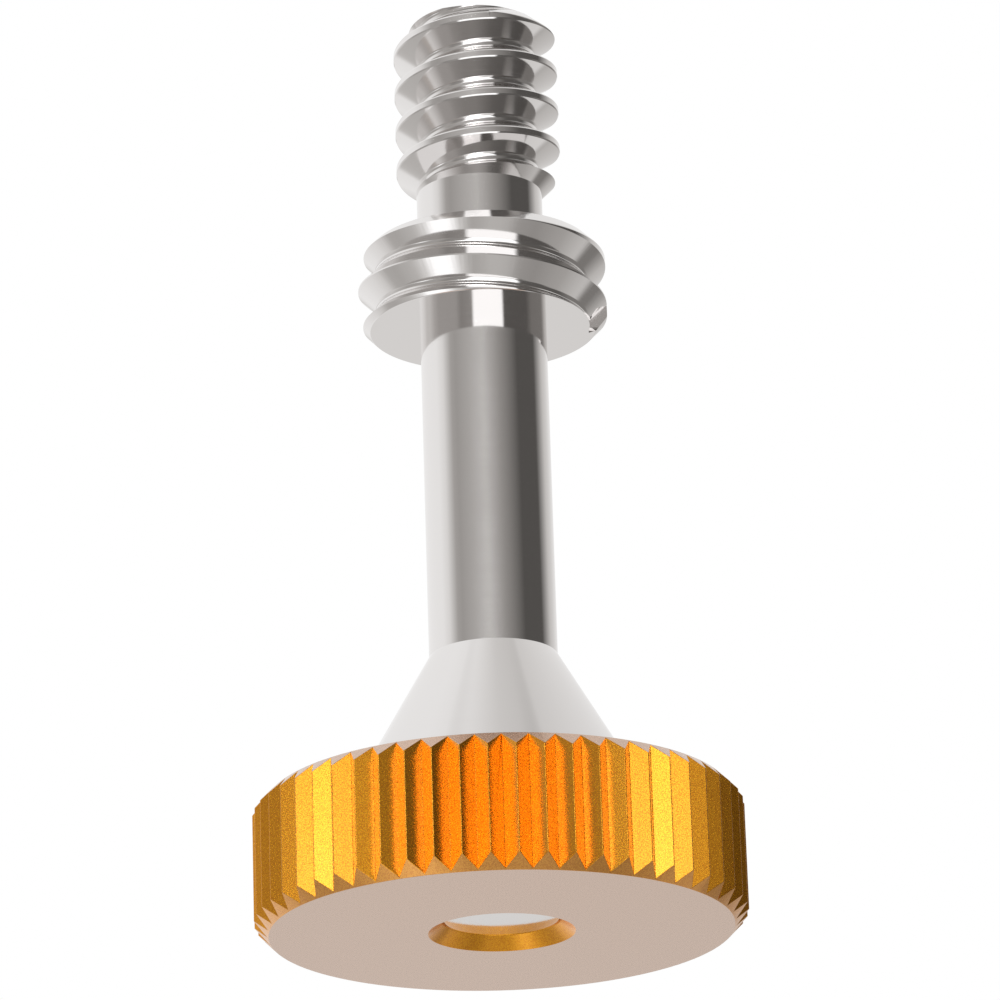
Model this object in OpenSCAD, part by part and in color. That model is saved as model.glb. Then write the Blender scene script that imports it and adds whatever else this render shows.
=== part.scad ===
// Captive thumb screw: a turned steel screw pressed into a knurled head.
// It stands on its head, with the axis on Z and the threaded tip up. Lengths are in millimetres.

/* [Head] */
// Diameter over the knurl ridges
head_d = 18.3; // [15:0.1:24]
// Thickness of the head
head_h = 5.1; // [4:0.1:8]
// Chamfer on both rims of the head
head_chamfer = 0.53; // [0.3:0.01:0.8]
// Number of knurl grooves round the head
knurl_count = 56; // [44:2:64]
// Depth of each knurl groove
knurl_depth = 0.48; // [0.3:0.01:0.7]
// Width of the flat on each knurl ridge
ridge_w = 0.08; // [0.04:0.01:0.2]
// Angle of one knurl ridge from the front, towards the left
knurl_turn = 1.8; // [0:0.1:6]
// Depth of the countersink in the outer face
sink_depth = 0.5; // [0.2:0.05:1]

/* [Spigot] */
// Diameter of the spigot that is pressed into the head
spigot_d = 4.44; // [3:0.01:6]
// Chamfer on the end of the spigot
spigot_edge = 0.1; // [0.05:0.01:0.3]

/* [Shank] */
// Diameter of the plain shank
shank_d = 4.84; // [4:0.01:6]
// Length of the plain shank between cone and collar
shank_len = 13.15; // [8:0.05:20]
// Height of the cone under the shank
cone_h = 5.56; // [3:0.01:7]
// Slope of the cone from the axis
cone_angle = 30; // [20:1:40]

/* [Retaining collar] */
// Major diameter of the collar's thread
collar_d = 9.52; // [8:0.01:12]
// Height of the collar
collar_h = 3.26; // [2.5:0.01:5]
// Chamfer on the collar's lower edge
collar_chamfer = 0.42; // [0.2:0.01:0.8]
// Chamfer on the collar's upper edge
collar_top_chamfer = 0.5; // [0.2:0.01:0.8]
// Pitch of the collar's left-hand thread
collar_pitch = 1.59; // [1.5:0.01:2]
// Depth of the collar's thread
collar_depth = 0.7; // [0.4:0.01:0.76]
// Width of the flat on the collar's thread crest
collar_crest = 0.06; // [0.05:0.01:0.3]
// Height of the groove's square end above the collar's underside
collar_start = 0.08; // [0.05:0.01:0.6]
// Number of turns of the collar's groove between its two square ends
collar_turns = 1.8; // [1:0.1:1.9]

/* [Neck and tip] */
// Diameter of the neck between collar and tip
neck_d = 4.84; // [4:0.01:5.4]
// Length of the neck
neck_len = 2.28; // [1.5:0.01:5]
// Major diameter of the tip's thread
tip_d = 6.35; // [6:0.01:8]
// Length of the tip from the neck to its end
tip_len = 7.08; // [5:0.01:14]
// How far the chamfer on the end of the tip cuts in
tip_chamfer = 0.8; // [0.4:0.01:1.6]
// Pitch of the tip's right-hand thread
tip_pitch = 1.59; // [1.5:0.01:2]
// Depth of the tip's thread
tip_depth = 0.9; // [0.5:0.01:1]
// Width of the flat on the tip's thread crest
tip_crest = 0.28; // [0.15:0.01:0.35]
// Height above the neck at which the tip's groove reaches its full depth
tip_start = 0.26; // [0.1:0.01:0.8]

/* [Hidden] */
// Radial play between the spigot and its hole
spigot_gap = 0.01;
// How far cutting shapes run past the faces that they cut
overrun = 0.1;
// How far the thread grooves run past the crests, less than makes their turns meet
groove_overrun = 0.02;
// Least half width of a groove's floor
floor_min = 0.03;
// Angle of the collar's thread flanks from a plane across the axis
collar_flank_angle = 44;
// Angle of the tip's thread flanks from a plane across the axis
tip_flank_angle = 30;
// Slope of the chamfer on the tip's end from a plane across the axis
end_chamfer_angle = 40;
// Angle round the axis at which the tip's groove is at full depth, from +X
tip_start_angle = -180;
// Angle over which the tip's groove fades out below that
tip_fade_angle = 120;
// Facets in one turn of a thread
turn_steps = 60;
$fn = 120;

head_r = head_d / 2;
spigot_r = spigot_d / 2;
hole_r = spigot_r + spigot_gap;
shank_r = shank_d / 2;
collar_r = collar_d / 2;
neck_r = neck_d / 2;
tip_r = tip_d / 2;
cone_r = shank_r + cone_h * tan(cone_angle);

// Heights up the axis, each stacked on the one before
shank_z = head_h + cone_h;
collar_z = shank_z + shank_len;
neck_z = collar_z + collar_h;
tip_z = neck_z + neck_len;
end_z = tip_z + tip_len;

function on_circle(r, angle) = [r * cos(angle), r * sin(angle)];

// Section of a thread groove at one angle: floor from low to high, then mouth from high to low.
// The flanks keep their place when the floor is raised, so a raised floor is a shallower groove.
function groove_section(angle, z, floor_r, mouth_r, crest_r, mouth_w, flank_angle) =
    let (half = function (r) max(floor_min, mouth_w / 2 - (crest_r - r) * tan(flank_angle)))
    [for (corner = [[floor_r, -1], [floor_r, 1], [mouth_r, 1], [mouth_r, -1]])
        concat(on_circle(corner[0], angle), z + corner[1] * half(corner[0]))];

// Right-hand thread groove of so many turns from a start angle and height. Where fade_angle isn't zero,
// the groove starts that much earlier and sinks in to its full depth on the way.
module helical_groove(crest_r, depth, pitch, crest_w, flank_angle, start_angle, start_z, turns, fade_angle) {
    mouth_w = pitch - crest_w;
    step = 360 / turn_steps;
    fade_steps = round(fade_angle / step);
    full_steps = ceil(turns * turn_steps);
    sections = [for (i = [-fade_steps : full_steps])
        groove_section(
            start_angle + i * step,
            start_z + i * pitch / turn_steps,
            i < 0 ? crest_r - depth * (1 + i / fade_steps) : crest_r - depth,
            crest_r + groove_overrun, crest_r, mouth_w, flank_angle)];
    last = 4 * (len(sections) - 1);
    walls = [for (i = [0 : len(sections) - 2], k = [0 : 3])
        let (a = 4 * i + k, b = 4 * i + (k + 1) % 4)
        each [[a, a + 4, b], [b, a + 4, b + 4]]];
    ends = [[0, 1, 2], [0, 2, 3], [last, last + 2, last + 1], [last, last + 3, last + 2]];
    polyhedron([for (s = sections) each s], concat(walls, ends));
}

// The screw before its threads are cut
module screw_blank() {
    rotate_extrude() polygon([
        [0, sink_depth],
        [spigot_r - spigot_edge, sink_depth],
        [spigot_r, sink_depth + spigot_edge],
        [spigot_r, head_h],
        [cone_r, head_h],
        [shank_r, shank_z],
        [shank_r, collar_z],
        [collar_r - collar_chamfer, collar_z],
        [collar_r, collar_z + collar_chamfer],
        [collar_r, neck_z - collar_top_chamfer],
        [collar_r - collar_top_chamfer, neck_z],
        [neck_r, neck_z],
        [neck_r, tip_z],
        [tip_r, tip_z + tip_r - neck_r],
        [tip_r, end_z - tip_chamfer * tan(end_chamfer_angle)],
        [tip_r - tip_chamfer, end_z],
        [0, end_z],
    ]);
}

module screw_body() {
    color("silver") difference() {
        screw_blank();
        // The collar's thread is left-handed, and its groove has square ends, the lower one at +X
        mirror([0, 1, 0]) helical_groove(
            collar_r, collar_depth, collar_pitch, collar_crest, collar_flank_angle, 0,
            collar_z + collar_start, collar_turns, 0);
        helical_groove(
            tip_r, tip_depth, tip_pitch, tip_crest, tip_flank_angle, tip_start_angle,
            tip_z + tip_start, (tip_len - tip_start) / tip_pitch + 1, tip_fade_angle);
    }
}

// Outline of the knurl: straight V grooves between narrow ridges
module knurl_outline() {
    step = 360 / knurl_count;
    ridge_angle = asin(ridge_w / 2 / head_r);
    front = -90 - knurl_turn;
    polygon([for (k = [0 : knurl_count - 1])
        let (ridge = front + k * step)
        each [
            on_circle(head_r, ridge - ridge_angle),
            on_circle(head_r, ridge + ridge_angle),
            on_circle(head_r - knurl_depth, ridge + step / 2),
        ]]);
}

// Disc with chamfered rims that trims the ends of the knurl
module rim_envelope() {
    rim_r = head_r + overrun;
    rim_step = head_chamfer + overrun;
    rotate_extrude() polygon([
        [0, 0],
        [rim_r - rim_step, 0],
        [rim_r, rim_step],
        [rim_r, head_h - rim_step],
        [rim_r - rim_step, head_h],
        [0, head_h],
    ]);
}

// Hole for the spigot with its countersink
module spigot_hole() {
    rotate_extrude() polygon([
        [0, -overrun],
        [hole_r + sink_depth + overrun, -overrun],
        [hole_r, sink_depth],
        [hole_r, head_h + overrun],
        [0, head_h + overrun],
    ]);
}

module knurled_head() {
    color("goldenrod") difference() {
        intersection() {
            linear_extrude(head_h) knurl_outline();
            rim_envelope();
        }
        spigot_hole();
    }
}

screw_body();
knurled_head();
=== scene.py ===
import math
import bpy
from mathutils import Matrix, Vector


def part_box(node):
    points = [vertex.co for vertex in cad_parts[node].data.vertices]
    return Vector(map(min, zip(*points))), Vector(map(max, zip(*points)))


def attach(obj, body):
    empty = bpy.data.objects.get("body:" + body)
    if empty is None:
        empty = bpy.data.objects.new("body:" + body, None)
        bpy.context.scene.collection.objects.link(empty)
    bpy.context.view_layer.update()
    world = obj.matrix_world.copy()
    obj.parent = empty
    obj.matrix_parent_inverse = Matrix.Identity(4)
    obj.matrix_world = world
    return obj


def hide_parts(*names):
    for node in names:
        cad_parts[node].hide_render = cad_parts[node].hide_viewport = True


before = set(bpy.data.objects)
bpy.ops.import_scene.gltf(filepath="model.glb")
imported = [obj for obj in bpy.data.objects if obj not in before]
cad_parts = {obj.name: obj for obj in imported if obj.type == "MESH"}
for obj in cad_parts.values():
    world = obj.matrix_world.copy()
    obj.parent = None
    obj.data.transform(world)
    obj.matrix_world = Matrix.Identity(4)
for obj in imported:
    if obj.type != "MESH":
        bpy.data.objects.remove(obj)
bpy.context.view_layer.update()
mm = 0.001  # sizes below are in millimetres, Blender works in metres
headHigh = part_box("knurled_head")[1]
screwLow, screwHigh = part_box("screw_body")
print("frame loaded:", ", ".join(sorted(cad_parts)))


# Camera

cameraSettings = {
    "place": (0.431, -201.018, -53.430),  # low in front of the head
    "pitch": 19.287,                      # degrees above the horizon
    "roll": 1.816,                        # the screw leans this much in the picture
    "lens": 202.24,
    "sensor": 36.0,
    "clip": (10, 5000),
}


def addCamera():
    s = cameraSettings
    bpy.ops.object.camera_add(location=[value * mm for value in s["place"]])
    camera = bpy.context.object
    camera.name = "photoCamera"
    camera.rotation_mode = "ZYX"
    camera.rotation_euler = (math.radians(90 + s["pitch"]), 0, math.radians(-s["roll"]))
    camera.data.lens = s["lens"]
    camera.data.sensor_width = s["sensor"]
    camera.data.clip_start, camera.data.clip_end = [value * mm for value in s["clip"]]
    bpy.context.scene.camera = camera
    print("camera placed")


# Modelling steps that both pieces use

meshSettings = {"weldWithin": 0.001, "seamWithin": 0.0001, "pickWithin": 0.01}


def pickOnly(obj):
    bpy.ops.object.select_all(action="DESELECT")
    obj.select_set(True)
    bpy.context.view_layer.objects.active = obj


def selectVertices(obj, chosen):  # chosen takes a vertex and says if it is wanted
    pickOnly(obj)
    bpy.ops.object.mode_set(mode="EDIT")
    bpy.ops.mesh.select_mode(type="VERT")
    bpy.ops.mesh.select_all(action="DESELECT")
    bpy.ops.object.mode_set(mode="OBJECT")
    for vertex in obj.data.vertices:
        vertex.select = chosen(vertex)
    bpy.ops.object.mode_set(mode="EDIT")


def traceProfile(name, corners):  # draws (radius, height) corners as a chain of edges, point by point
    bpy.ops.object.select_all(action="DESELECT")
    bpy.ops.mesh.primitive_plane_add(size=mm)
    obj = bpy.context.object
    obj.name = obj.data.name = name
    bpy.ops.object.mode_set(mode="EDIT")
    bpy.ops.mesh.select_all(action="SELECT")
    bpy.ops.mesh.merge(type="CENTER")
    last = (0, 0)
    for number, corner in enumerate(corners):
        step = ((corner[0] - last[0]) * mm, 0, (corner[1] - last[1]) * mm)
        if number == 0:
            bpy.ops.transform.translate(value=step)
        else:
            bpy.ops.mesh.extrude_region_move(TRANSFORM_OT_translate={"value": step})
        last = corner
    bpy.ops.object.mode_set(mode="OBJECT")
    return obj


def roundCorners(obj, size, segments, chosen):  # small radius on the chosen corners of a profile
    selectVertices(obj, chosen)
    bpy.ops.mesh.bevel(offset=size * mm, segments=segments, profile=0.5, affect="VERTICES")
    bpy.ops.object.mode_set(mode="OBJECT")


def weld(obj):
    pickOnly(obj)
    bpy.ops.object.mode_set(mode="EDIT")
    bpy.ops.mesh.select_all(action="SELECT")
    bpy.ops.mesh.remove_doubles(threshold=meshSettings["weldWithin"] * mm)
    bpy.ops.mesh.normals_make_consistent(inside=False)
    bpy.ops.object.mode_set(mode="OBJECT")


def sweepProfile(obj, degrees, rise, steps):  # turns a profile round Z, climbing by rise on the way
    pickOnly(obj)
    bpy.ops.object.modifier_add(type="SCREW")
    sweep = obj.modifiers[-1]
    sweep.angle = math.radians(degrees)
    sweep.screw_offset = rise * mm
    sweep.steps = sweep.render_steps = steps
    sweep.use_merge_vertices = rise == 0
    sweep.merge_threshold = meshSettings["seamWithin"] * mm
    bpy.ops.object.modifier_apply(modifier=sweep.name)


def combine(body, tool, operation):  # boolean with a tool that is thrown away afterwards
    pickOnly(body)
    bpy.ops.object.modifier_add(type="BOOLEAN")
    step = body.modifiers[-1]
    step.operation = operation
    step.object = tool
    step.solver = "MANIFOLD"
    bpy.ops.object.modifier_apply(modifier=step.name)
    bpy.data.objects.remove(tool, do_unlink=True)


def resize(obj, factor):
    obj.scale = (factor, factor, factor)
    bpy.ops.object.transform_apply(location=False, rotation=False, scale=True)


def finishPiece(obj, material, node, smoothAngle):
    pickOnly(obj)
    bpy.ops.object.shade_smooth_by_angle(angle=math.radians(smoothAngle))
    resize(obj, 1 / mm)  # the next step compares face areas, and takes very small ones to be equal
    bpy.ops.object.modifier_add(type="WEIGHTED_NORMAL")  # keeps the long faces flat next to the small radii
    even = obj.modifiers[-1]
    even.keep_sharp = True
    even.thresh = 0
    bpy.ops.object.modifier_apply(modifier=even.name)
    resize(obj, mm)
    obj.data.materials.clear()
    obj.data.materials.append(material)
    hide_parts(node)
    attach(obj, "root")
    print(obj.name, "finished:", len(obj.data.polygons), "faces")


# Steel screw, turned on one axis, with a left-hand thread on the collar and a right-hand one on the tip

screwSettings = {
    "spigotR": 2.22, "spigotEdge": 0.1,
    "shankR": 2.42, "coneHeight": 5.56, "coneAngle": 30,
    "collarBase": 23.81, "collarTop": 27.07, "collarR": 4.76,
    "collarChamfer": 0.42, "collarTopChamfer": 0.5,
    "neckR": 2.42, "tipBase": 29.35, "tipR": 3.175, "tipChamfer": 0.8, "tipChamferAngle": 40,
    "edgeRadius": 0.03, "edgeSteps": 3, "turnSteps": 360, "smoothAngle": 28,
}
collarThread = {
    "crestR": screwSettings["collarR"], "depth": 0.7, "pitch": 1.59, "crest": 0.06,
    "flankAngle": 44, "hand": -1,
    "startAngle": 0, "startHeight": 23.89, "turns": 1.8, "fade": 0,  # both ends are square
    "edgeBreak": 0, "rootRound": 0.08, "overrun": 0.02, "endTilt": 8,
}
tipThread = {
    "crestR": screwSettings["tipR"], "depth": 0.9, "pitch": 1.59, "crest": 0.28,
    "flankAngle": 30, "hand": 1,
    "startAngle": -180, "startHeight": 29.61, "turns": 5.3, "fade": 120,  # runs out past the end
    "edgeBreak": 0.03, "rootRound": 0.085, "overrun": 0.03, "endTilt": 0,
}
threadForm = {"breakAngle": 60, "rootSteps": 5, "stepsPerTurn": 180}


def screwCorners():
    s = screwSettings
    endHeight = screwHigh.z / mm
    headTop = headHigh.z / mm
    spigotEnd = screwLow.z / mm
    coneR = s["shankR"] + s["coneHeight"] * math.tan(math.radians(s["coneAngle"]))
    tipChamferRise = s["tipChamfer"] * math.tan(math.radians(s["tipChamferAngle"]))
    return [
        (0, spigotEnd),
        (s["spigotR"] - s["spigotEdge"], spigotEnd),
        (s["spigotR"], spigotEnd + s["spigotEdge"]),
        (s["spigotR"], headTop),
        (coneR, headTop),
        (s["shankR"], headTop + s["coneHeight"]),
        (s["shankR"], s["collarBase"]),
        (s["collarR"] - s["collarChamfer"], s["collarBase"]),
        (s["collarR"], s["collarBase"] + s["collarChamfer"]),
        (s["collarR"], s["collarTop"] - s["collarTopChamfer"]),
        (s["collarR"] - s["collarTopChamfer"], s["collarTop"]),
        (s["neckR"], s["collarTop"]),
        (s["neckR"], s["tipBase"]),
        (s["tipR"], s["tipBase"] + s["tipR"] - s["neckR"]),
        (s["tipR"], endHeight - tipChamferRise),
        (s["tipR"] - s["tipChamfer"], endHeight),
        (0, endHeight),
    ]


def grooveCorners(thread):  # half of the groove's section from its floor out to its mouth, then mirrored
    slope = math.tan(math.radians(thread["flankAngle"]))
    edge = thread["edgeBreak"]
    floorR = thread["crestR"] - thread["depth"]
    mouth = (thread["pitch"] - thread["crest"]) / 2
    half = [(floorR, mouth - thread["depth"] * slope)]
    if edge > 0:  # broken edge between flank and crest
        half.append((thread["crestR"] - edge, mouth - edge * slope))
        slope = math.tan(math.radians(threadForm["breakAngle"]))
    edgeWidth = half[-1][1] + (thread["crestR"] + thread["overrun"] - half[-1][0]) * slope
    half.append((thread["crestR"] + thread["overrun"], edgeWidth))
    return [(r, -h) for r, h in reversed(half)] + half


def addThreadCutter(name, thread):
    steps = threadForm["stepsPerTurn"]
    pitch, hand = thread["pitch"], thread["hand"]
    startAngle = thread["startAngle"] - hand * thread["fade"]
    startHeight = thread["startHeight"] - pitch * thread["fade"] / 360
    turns = thread["turns"] + thread["fade"] / 360
    cutter = traceProfile(name, grooveCorners(thread))
    floorR = (thread["crestR"] - thread["depth"]) * mm
    roundCorners(cutter, thread["rootRound"], threadForm["rootSteps"],
                 lambda v: abs(v.co.x - floorR) < meshSettings["pickWithin"] * mm)
    bpy.ops.object.mode_set(mode="EDIT")
    bpy.ops.mesh.select_all(action="SELECT")
    bpy.ops.mesh.edge_face_add()
    bpy.ops.object.mode_set(mode="OBJECT")
    sectionSize = len(cutter.data.vertices)
    sweepProfile(cutter, hand * 360 * turns, pitch * turns, round(turns * steps))
    fadeOut(cutter, thread, sectionSize)
    tiltEnd(cutter, thread, sectionSize)
    cutter.rotation_euler.z = math.radians(startAngle)
    cutter.location.z = startHeight * mm
    bpy.ops.object.transform_apply(location=True, rotation=True)
    bpy.ops.object.mode_set(mode="EDIT")
    bpy.ops.mesh.select_all(action="DESELECT")
    bpy.ops.mesh.select_non_manifold(
        use_wire=False, use_multi_face=False, use_non_contiguous=False, use_verts=False)
    bpy.ops.mesh.fill_holes(sides=0)
    bpy.ops.object.mode_set(mode="OBJECT")
    weld(cutter)
    return cutter


def fadeOut(cutter, thread, sectionSize):  # lifts the groove's floor to the crest at its start, ring by ring
    fadeRings = round(thread["fade"] / 360 * threadForm["stepsPerTurn"])
    ringRise = thread["pitch"] / threadForm["stepsPerTurn"] * mm
    slope = math.tan(math.radians(thread["flankAngle"]))
    crestR = thread["crestR"] * mm
    for vertex in cutter.data.vertices:
        ring = vertex.index // sectionSize
        if ring >= fadeRings:
            continue
        radius = math.hypot(vertex.co.x, vertex.co.y)
        below = crestR - radius
        if below <= 0:
            continue
        share = ring / fadeRings  # 0 at the start, 1 at full depth
        lift = below * (1 - share)
        vertex.co.x *= (radius + lift) / radius
        vertex.co.y *= (radius + lift) / radius
        vertex.co.z += math.copysign(lift * slope, vertex.co.z - ring * ringRise)  # flanks keep their place


def tiltEnd(cutter, thread, sectionSize):  # the floor runs on a little further than the mouth
    turn = Matrix.Rotation(math.radians(-thread["hand"] * thread["endTilt"]), 3, "Z")
    for vertex in cutter.data.vertices[:sectionSize]:
        if vertex.co.xy.length < (thread["crestR"] - thread["depth"] / 2) * mm:
            vertex.co = turn @ vertex.co


def buildScrew(material):
    s = screwSettings
    screw = traceProfile("screw", screwCorners())
    outerR = (s["shankR"] + meshSettings["pickWithin"]) * mm  # the inner corners stay sharp
    roundCorners(screw, s["edgeRadius"], s["edgeSteps"], lambda v: v.co.x > outerR)
    sweepProfile(screw, 360, 0, s["turnSteps"])
    weld(screw)
    combine(screw, addThreadCutter("collarGroove", collarThread), "DIFFERENCE")
    combine(screw, addThreadCutter("tipGroove", tipThread), "DIFFERENCE")
    finishPiece(screw, material, "screw_body", s["smoothAngle"])


# Knurled head: straight V grooves between narrow ridges, chamfered rims, countersunk hole for the spigot

headSettings = {
    "radius": 9.15, "chamfer": 0.53,
    "grooves": 56, "grooveDepth": 0.48, "ridgeWidth": 0.03, "ridgeTurn": 1.8,
    "holeR": 2.23, "sinkDepth": 0.5,
    "edgeRadius": 0.012, "edgeSteps": 2, "sharpFrom": 28, "floorMargin": 0.05,
    "holeSteps": 224, "overrun": 0.1, "smoothAngle": 35,
}


def softenEdges(obj, size, segments, sharpFrom, chosen):  # small radius on the sharp edges that chosen keeps
    pickOnly(obj)
    bpy.ops.object.mode_set(mode="EDIT")
    bpy.ops.mesh.select_mode(type="EDGE")
    bpy.ops.mesh.select_all(action="DESELECT")
    bpy.ops.mesh.edges_select_sharp(sharpness=math.radians(sharpFrom))
    bpy.ops.object.mode_set(mode="OBJECT")
    points = obj.data.vertices
    for edge in obj.data.edges:
        if edge.select:
            edge.select = chosen(points[edge.vertices[0]].co, points[edge.vertices[1]].co)
    bpy.ops.object.mode_set(mode="EDIT")
    bpy.ops.mesh.bevel(offset=size * mm, segments=segments, affect="EDGES")
    bpy.ops.object.mode_set(mode="OBJECT")


def buildHead(material):
    s = headSettings
    height = headHigh.z / mm
    stepAngle = math.radians(360 / s["grooves"])
    floorR = s["radius"] - s["grooveDepth"]
    halfRidge = s["ridgeWidth"] / 2
    flankRun = floorR * math.sin(stepAngle / 2) - halfRidge
    flankRise = s["radius"] - floorR * math.cos(stepAngle / 2)
    apexR = s["radius"] + halfRidge * flankRise / flankRun  # where two flanks would meet without the flat
    ridgeAngle = math.radians(-90 - s["ridgeTurn"])

    bpy.ops.object.select_all(action="DESELECT")
    bpy.ops.mesh.primitive_circle_add(vertices=2 * s["grooves"], radius=apexR * mm)
    head = bpy.context.object
    head.name = head.data.name = "head"
    first = head.data.vertices[0].co
    head.rotation_euler.z = ridgeAngle - math.atan2(first.y, first.x)
    bpy.ops.object.transform_apply(rotation=True)
    selectVertices(head, lambda v: v.index % 2 == 1)
    bpy.ops.transform.resize(value=(floorR / apexR, floorR / apexR, 1), center_override=(0, 0, 0))
    bpy.ops.object.mode_set(mode="OBJECT")
    ridgeSide = math.hypot(halfRidge, apexR - s["radius"])
    roundCorners(head, ridgeSide, 1, lambda v: v.index % 2 == 0)
    bpy.ops.object.mode_set(mode="EDIT")
    bpy.ops.mesh.select_all(action="SELECT")
    bpy.ops.mesh.edge_face_add()
    bpy.ops.mesh.extrude_region_move(TRANSFORM_OT_translate={"value": (0, 0, height * mm)})
    bpy.ops.object.mode_set(mode="OBJECT")
    weld(head)

    rimR = s["radius"] + s["overrun"]
    rimStep = s["chamfer"] + s["overrun"]
    rim = traceProfile("rim", [
        (0, 0), (rimR - rimStep, 0), (rimR, rimStep),
        (rimR, height - rimStep), (rimR - rimStep, height), (0, height),
    ])
    sweepProfile(rim, 360, 0, 2 * s["grooves"])
    rim.rotation_euler.z = ridgeAngle
    bpy.ops.object.transform_apply(rotation=True)
    weld(rim)
    combine(head, rim, "INTERSECT")

    hole = traceProfile("hole", [
        (0, -s["overrun"]), (s["holeR"] + s["sinkDepth"] + s["overrun"], -s["overrun"]),
        (s["holeR"], s["sinkDepth"]), (s["holeR"], height + s["overrun"]), (0, height + s["overrun"]),
    ])
    sweepProfile(hole, 360, 0, s["holeSteps"])
    weld(hole)
    combine(head, hole, "DIFFERENCE")

    upright = height / 2 * mm  # only the bottoms of the grooves and the ridges are this tall
    inGroove = (floorR + s["floorMargin"]) * mm
    softenEdges(head, s["edgeRadius"], s["edgeSteps"], s["sharpFrom"],
                lambda a, b: abs(a.z - b.z) < upright or a.xy.length > inGroove)
    finishPiece(head, material, "knurled_head", s["smoothAngle"])


# Materials

mixFirst, mixSecond, mixResult = 6, 7, 2  # colour sockets of a Mix node


def newMaterial(name):
    material = bpy.data.materials.new(name)
    material.use_nodes = True
    return material, material.node_tree, material.node_tree.nodes["Principled BSDF"]


def addNode(tree, kind, **values):
    node = tree.nodes.new(kind)
    for name, value in values.items():
        setattr(node, name, value)
    return node


steelSettings = {
    "colour": (0.866, 0.85, 0.845),
    "roughness": (0.06, 0.12),
    "markScale": 9000,              # turning marks, per metre along the surface
    "markHeight": 0.00005,          # mm
    "markDetail": 3, "markStrength": 0.5,
    "smudgeScale": 260, "smudgeDetail": 4,
    "polishRange": (0.1, 0.45),     # part of the pattern that runs from smooth to dull
}


def makeSteel():
    s = steelSettings
    material, tree, shader = newMaterial("polishedSteel")
    link = tree.links.new
    shader.inputs["Base Color"].default_value = (*s["colour"], 1)
    shader.inputs["Metallic"].default_value = 1
    where = addNode(tree, "ShaderNodeTexCoord")
    parts = addNode(tree, "ShaderNodeSeparateXYZ")
    link(where.outputs["Object"], parts.inputs[0])
    across = addNode(tree, "ShaderNodeCombineXYZ")
    link(parts.outputs["X"], across.inputs["X"])
    link(parts.outputs["Y"], across.inputs["Y"])
    radius = addNode(tree, "ShaderNodeVectorMath", operation="LENGTH")
    link(across.outputs[0], radius.inputs[0])
    along = addNode(tree, "ShaderNodeMath", operation="ADD")  # grows along walls and across end faces alike
    link(radius.outputs["Value"], along.inputs[0])
    link(parts.outputs["Z"], along.inputs[1])
    marks = addNode(tree, "ShaderNodeTexNoise", noise_dimensions="1D")
    link(along.outputs[0], marks.inputs["W"])
    marks.inputs["Scale"].default_value = s["markScale"]
    marks.inputs["Detail"].default_value = s["markDetail"]
    smudges = addNode(tree, "ShaderNodeTexNoise")
    link(where.outputs["Object"], smudges.inputs["Vector"])
    smudges.inputs["Scale"].default_value = s["smudgeScale"]
    smudges.inputs["Detail"].default_value = s["smudgeDetail"]
    both = addNode(tree, "ShaderNodeMath", operation="MULTIPLY")
    link(marks.outputs["Fac"], both.inputs[0])
    link(smudges.outputs["Fac"], both.inputs[1])
    polish = addNode(tree, "ShaderNodeMapRange")
    link(both.outputs[0], polish.inputs["Value"])
    polish.inputs["From Min"].default_value, polish.inputs["From Max"].default_value = s["polishRange"]
    polish.inputs["To Min"].default_value, polish.inputs["To Max"].default_value = s["roughness"]
    link(polish.outputs[0], shader.inputs["Roughness"])
    bump = addNode(tree, "ShaderNodeBump")
    bump.inputs["Strength"].default_value = s["markStrength"]
    bump.inputs["Distance"].default_value = s["markHeight"] * mm
    link(marks.outputs["Fac"], bump.inputs["Height"])
    link(bump.outputs[0], shader.inputs["Normal"])
    return material


goldSettings = {
    "colour": (0.96, 0.415, 0.014), "deepColour": (0.80, 0.30, 0.008),
    "paintedSheenColour": (0.73, 0.50, 0.368), "paintedSheenDeep": (0.60, 0.41, 0.30),   # painted sheen: pale beige laid on faces that point straight up or down, in place of their grazing reflection
    "paintedSheenAbove": (0.45, 0.6), "paintedSheenBelow": (-0.85, -0.95),
    "chamferSheenBelow": (-0.6, -0.7), "chamferSheenShare": 0.22, "chamferSheenOutside": 5,   # painted sheen: the outer lower chamfer of the rim gets some of the pale tone, in place of its grazing reflection
    "roughness": (0.26, 0.28), "satinRange": (0.3, 0.7),
    "coat": 0.6, "coatRoughness": 0.16,
    "grainScale": 17000, "grainHeight": 0.001, "grainDetail": 2, "grainStrength": 0.8,
    "dyeRange": (0.35, 0.62),                                     # part of the grain that the dye follows
}


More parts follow.
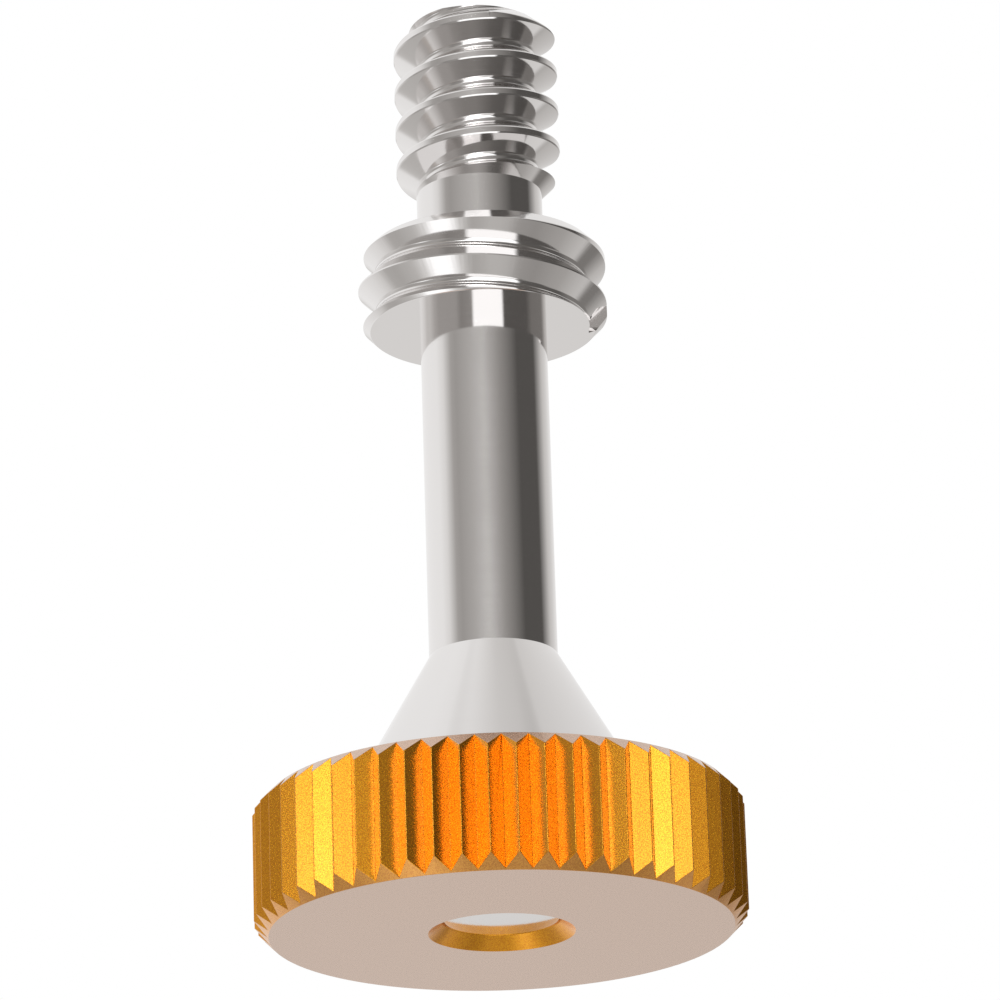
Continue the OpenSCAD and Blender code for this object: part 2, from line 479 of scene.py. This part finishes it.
def makeGold():
    s = goldSettings
    material, tree, shader = newMaterial("goldAnodised")
    link = tree.links.new
    shader.inputs["Metallic"].default_value = 1
    shader.inputs["Coat Weight"].default_value = s["coat"]
    shader.inputs["Coat Roughness"].default_value = s["coatRoughness"]
    where = addNode(tree, "ShaderNodeTexCoord")
    grain = addNode(tree, "ShaderNodeTexNoise")
    link(where.outputs["Object"], grain.inputs["Vector"])
    grain.inputs["Scale"].default_value = s["grainScale"]
    grain.inputs["Detail"].default_value = s["grainDetail"]
    dye = addNode(tree, "ShaderNodeMapRange", interpolation_type="SMOOTHSTEP")
    link(grain.outputs["Fac"], dye.inputs["Value"])
    dye.inputs["From Min"].default_value, dye.inputs["From Max"].default_value = s["dyeRange"]
    # the second tone is the painted sheen, grained like the gold
    tones = []
    for deep, full in (("deepColour", "colour"), ("paintedSheenDeep", "paintedSheenColour")):
        tone = addNode(tree, "ShaderNodeMix", data_type="RGBA")
        link(dye.outputs[0], tone.inputs["Factor"])
        tone.inputs[mixFirst].default_value = (*s[deep], 1)
        tone.inputs[mixSecond].default_value = (*s[full], 1)
        tones.append(tone)
    # painted sheen: a face takes the pale tone by which way it points, up, down, or down on the outer chamfer
    facing = addNode(tree, "ShaderNodeSeparateXYZ")
    link(where.outputs["Normal"], facing.inputs[0])
    shares = []
    for low, high in (s["paintedSheenAbove"], s["paintedSheenBelow"], s["chamferSheenBelow"]):
        share = addNode(tree, "ShaderNodeMapRange", interpolation_type="SMOOTHSTEP")
        link(facing.outputs["Z"], share.inputs["Value"])
        share.inputs["From Min"].default_value = low
        share.inputs["From Max"].default_value = high
        shares.append(share)
    shares[2].inputs["To Max"].default_value = s["chamferSheenShare"]
    across = addNode(tree, "ShaderNodeVectorMath", operation="MULTIPLY")
    link(where.outputs["Object"], across.inputs[0])
    across.inputs[1].default_value = (1, 1, 0)
    radius = addNode(tree, "ShaderNodeVectorMath", operation="LENGTH")
    link(across.outputs["Vector"], radius.inputs[0])
    outside = addNode(tree, "ShaderNodeMath", operation="GREATER_THAN")
    link(radius.outputs["Value"], outside.inputs[0])
    outside.inputs[1].default_value = s["chamferSheenOutside"] * mm
    # painted sheen on the outer lower chamfer only
    rim = addNode(tree, "ShaderNodeMath", operation="MULTIPLY")
    link(shares[2].outputs[0], rim.inputs[0])
    link(outside.outputs[0], rim.inputs[1])
    ends = addNode(tree, "ShaderNodeMath", operation="MAXIMUM")
    link(shares[0].outputs[0], ends.inputs[0])
    link(shares[1].outputs[0], ends.inputs[1])
    # painted sheen share, from the end faces and the outer lower chamfer
    paintedSheen = addNode(tree, "ShaderNodeMath", operation="MAXIMUM")
    link(ends.outputs[0], paintedSheen.inputs[0])
    link(rim.outputs[0], paintedSheen.inputs[1])
    colour = addNode(tree, "ShaderNodeMix", data_type="RGBA")
    link(paintedSheen.outputs[0], colour.inputs["Factor"])
    link(tones[0].outputs[mixResult], colour.inputs[mixFirst])
    link(tones[1].outputs[mixResult], colour.inputs[mixSecond])
    link(colour.outputs[mixResult], shader.inputs["Base Color"])
    satin = addNode(tree, "ShaderNodeMapRange")
    link(grain.outputs["Fac"], satin.inputs["Value"])
    satin.inputs["From Min"].default_value, satin.inputs["From Max"].default_value = s["satinRange"]
    satin.inputs["To Min"].default_value, satin.inputs["To Max"].default_value = s["roughness"]
    link(satin.outputs[0], shader.inputs["Roughness"])
    bump = addNode(tree, "ShaderNodeBump")
    bump.inputs["Strength"].default_value = s["grainStrength"]
    bump.inputs["Distance"].default_value = s["grainHeight"] * mm
    link(grain.outputs["Fac"], bump.inputs["Height"])
    link(bump.outputs[0], shader.inputs["Normal"])
    return material


# Studio: white room with a soft box and a low lamp behind the camera, and a dark side on the right

# Each band gives light levels by bearing from the camera, in degrees, with the right positive.
# The pairs between bands are the sines of the heights over which one gives way to the next.
studioSettings = {
    "nadir": [
        (-180, 0.85), (-154, 0.7), (-140, 0.5), (-112, 0.41), (-96, 0.5), (-79, 0.95), (-60, 0.9), (-44, 0.6),
        (-28, 0.42), (6, 0.5), (30, 0.5), (52, 0.58), (70, 0.5), (100, 0.42), (130, 0.65), (180, 0.85),
    ],
    "nadirTop": (-0.95, -0.90),
    "ground": [
        (-180, 0.85), (-154, 0.7), (-140, 0.5), (-112, 0.41), (-96, 0.5), (-86, 0.75), (-79, 1.2), (-60, 1.2),
        (-44, 0.62), (-28, 0.4), (-12, 0.38), (6, 0.46), (26, 0.43), (46, 0.33), (72, 0.29), (100, 0.38),
        (130, 0.65), (180, 0.85),
    ],
    "groundTop": (-0.55, -0.45),
    "frontSpan": [(-78, 0), (-66, 1), (70, 1), (80, 0)],  # the front wall reaches lower
    "frontFoot": (-0.82, -0.78),
    "lower": [
        (-180, 0.71), (-172, 0.73), (-160, 0.88), (-147, 0.85), (-134, 0.76), (-125, 0.63), (-113, 0.62),
        (-100, 0.46), (-88, 0.37), (-50, 0.36), (-40, 0.25), (-20, 0.3), (-16, 1.3),
        (35, 1.3), (39, 0.1), (86, 0.1), (100, 0.19), (134, 0.2), (150, 0.5), (180, 0.71),
    ],
    "lowerTop": (0.14, 0.20),
    "rim": [  # the lamp, which lights the grooves of the head
        (-180, 0.71), (-128, 0.58), (-118, 0.46), (-50, 0.46), (-36, 0.5), (-28, 0.9), (-23, 3.6), (-13, 6.0),
        (-9, 8.0), (1, 8.0), (5, 5.9), (12, 4.2), (17, 1.0), (24, 0.3), (31, 0.14), (42, 0.08), (60, 0.08),
        (86, 0.08), (100, 0.19), (134, 0.2), (150, 0.5), (180, 0.71),
    ],
    "rimTop": (0.24, 0.26), "rimWarmth": 0.2, "warmWithin": 60,
    "upper": [
        (-180, 0.92), (-98, 0.87), (-82, 0.75), (-64, 0.38), (-54, 0.34), (-4, 0.5),
        (28, 0.28), (62, 0.085), (101, 0.085), (126, 0.57), (150, 0.76), (180, 0.92),
    ],
    "upperTop": (0.42, 0.52),
    "high": [
        (-180, 0.88), (-104, 0.88), (-84, 0.85), (-66, 0.55), (-54, 0.4), (-40, 0.29), (-20, 0.24), (0, 0.24),
        (34, 0.13), (56, 0.11), (68, 0.3), (80, 0.65), (180, 0.88),
    ],
    "highTop": (0.90, 0.96),
    "ceiling": [
        (-180, 0.9), (-90, 0.9), (-62, 0.83), (-20, 0.72), (10, 0.65),
        (60, 0.6), (90, 0.7), (130, 0.8), (180, 0.9),
    ],
    "warmth": 0.06,     # grey walls are a little warm, white ones aren't
    "fill": 1.0,        # light on what isn't metal
    "backdrop": 1.0,    # white behind the object
}


def addRamp(tree, stops, frontWarmth):
    ramp = addNode(tree, "ShaderNodeValToRGB")
    elements = ramp.color_ramp.elements
    for number, (degrees, level) in enumerate(stops):
        place = degrees / 360 + 0.5
        stop = elements[number] if number < 2 else elements.new(place)
        stop.position = place
        inFront = abs(degrees) <= studioSettings["warmWithin"]
        warm = (frontWarmth if inFront else studioSettings["warmth"]) * max(0, 1 - level)
        stop.color = (level * (1 + warm), level, level * (1 - warm), 1)
    return ramp


def buildStudio():
    s = studioSettings
    world = bpy.data.worlds.new("studio")
    bpy.context.scene.world = world
    world.use_nodes = True
    tree = world.node_tree
    link = tree.links.new
    background = tree.nodes["Background"]
    direction = addNode(tree, "ShaderNodeTexCoord")
    parts = addNode(tree, "ShaderNodeSeparateXYZ")
    link(direction.outputs["Generated"], parts.inputs[0])
    forward = addNode(tree, "ShaderNodeMath", operation="MULTIPLY")
    link(parts.outputs["Y"], forward.inputs[0])
    forward.inputs[1].default_value = -1
    bearing = addNode(tree, "ShaderNodeMath", operation="ARCTAN2")
    link(parts.outputs["X"], bearing.inputs[0])
    link(forward.outputs[0], bearing.inputs[1])
    place = addNode(tree, "ShaderNodeMapRange")
    link(bearing.outputs[0], place.inputs["Value"])
    place.inputs["From Min"].default_value = -math.pi
    place.inputs["From Max"].default_value = math.pi

    def band(name):
        ramp = addRamp(tree, s[name], s.get(name + "Warmth", s["warmth"]))
        link(place.outputs[0], ramp.inputs[0])
        return ramp.outputs[0]

    def rise(low, high):
        share = addNode(tree, "ShaderNodeMapRange", interpolation_type="SMOOTHSTEP")
        link(parts.outputs["Z"], share.inputs["Value"])
        share.inputs["From Min"].default_value = low
        share.inputs["From Max"].default_value = high
        return share.outputs[0]

    def blend(share, first, second):
        mix = addNode(tree, "ShaderNodeMix", data_type="RGBA")
        link(share, mix.inputs["Factor"])
        for socket, value in ((mix.inputs[mixFirst], first), (mix.inputs[mixSecond], second)):
            if isinstance(value, float):
                socket.default_value = (value, value, value, 1)
            else:
                link(value, socket)
        return mix.outputs[mixResult]

    room = blend(rise(*s["nadirTop"]), band("nadir"), band("ground"))
    frontShare = addNode(tree, "ShaderNodeMath", operation="MULTIPLY")
    link(band("frontSpan"), frontShare.inputs[0])
    link(rise(*s["frontFoot"]), frontShare.inputs[1])
    wallShare = addNode(tree, "ShaderNodeMath", operation="MAXIMUM")
    link(frontShare.outputs[0], wallShare.inputs[0])
    link(rise(*s["groundTop"]), wallShare.inputs[1])
    room = blend(wallShare.outputs[0], room, band("lower"))
    below = "lower"
    for name in ("rim", "upper", "high", "ceiling"):
        room = blend(rise(*s[below + "Top"]), room, band(name))
        below = name
    rays = addNode(tree, "ShaderNodeLightPath")
    mirrored = addNode(tree, "ShaderNodeMath", operation="MAXIMUM")
    link(rays.outputs["Is Glossy Ray"], mirrored.inputs[0])
    link(rays.outputs["Is Transmission Ray"], mirrored.inputs[1])
    seen = blend(mirrored.outputs[0], s["fill"], room)
    white = blend(rays.outputs["Is Camera Ray"], seen, s["backdrop"])
    link(white, background.inputs["Color"])
    background.inputs["Strength"].default_value = 1
    world.cycles.sampling_method = "NONE"  # rough metal then mirrors the room and not the fill
    print("studio built")


floorSettings = {"size": 600, "lift": 0.02, "colour": (0.9, 0.9, 0.895), "roughness": 0.9}


def addFloor():
    s = floorSettings
    bpy.ops.object.select_all(action="DESELECT")
    bpy.ops.mesh.primitive_plane_add(size=s["size"] * mm, location=(0, 0, s["lift"] * mm))
    floor = bpy.context.object
    floor.name = "floor"
    material, tree, shader = newMaterial("paleFloor")
    shader.inputs["Base Color"].default_value = (*s["colour"], 1)
    shader.inputs["Roughness"].default_value = s["roughness"]
    side = addNode(tree, "ShaderNodeNewGeometry")
    clear = addNode(tree, "ShaderNodeBsdfTransparent")
    mix = addNode(tree, "ShaderNodeMixShader")
    tree.links.new(side.outputs["Backfacing"], mix.inputs["Fac"])
    tree.links.new(shader.outputs[0], mix.inputs[1])
    tree.links.new(clear.outputs[0], mix.inputs[2])
    tree.links.new(mix.outputs[0], tree.nodes["Material Output"].inputs["Surface"])
    floor.data.materials.append(material)
    floor.visible_glossy = False
    floor.visible_transmission = False
    floor.visible_shadow = False
    floor.visible_diffuse = False
    print("floor laid")


addCamera()
buildScrew(makeSteel())
buildHead(makeGold())
buildStudio()
addFloor()
bpy.context.scene.view_settings.view_transform = "Standard"
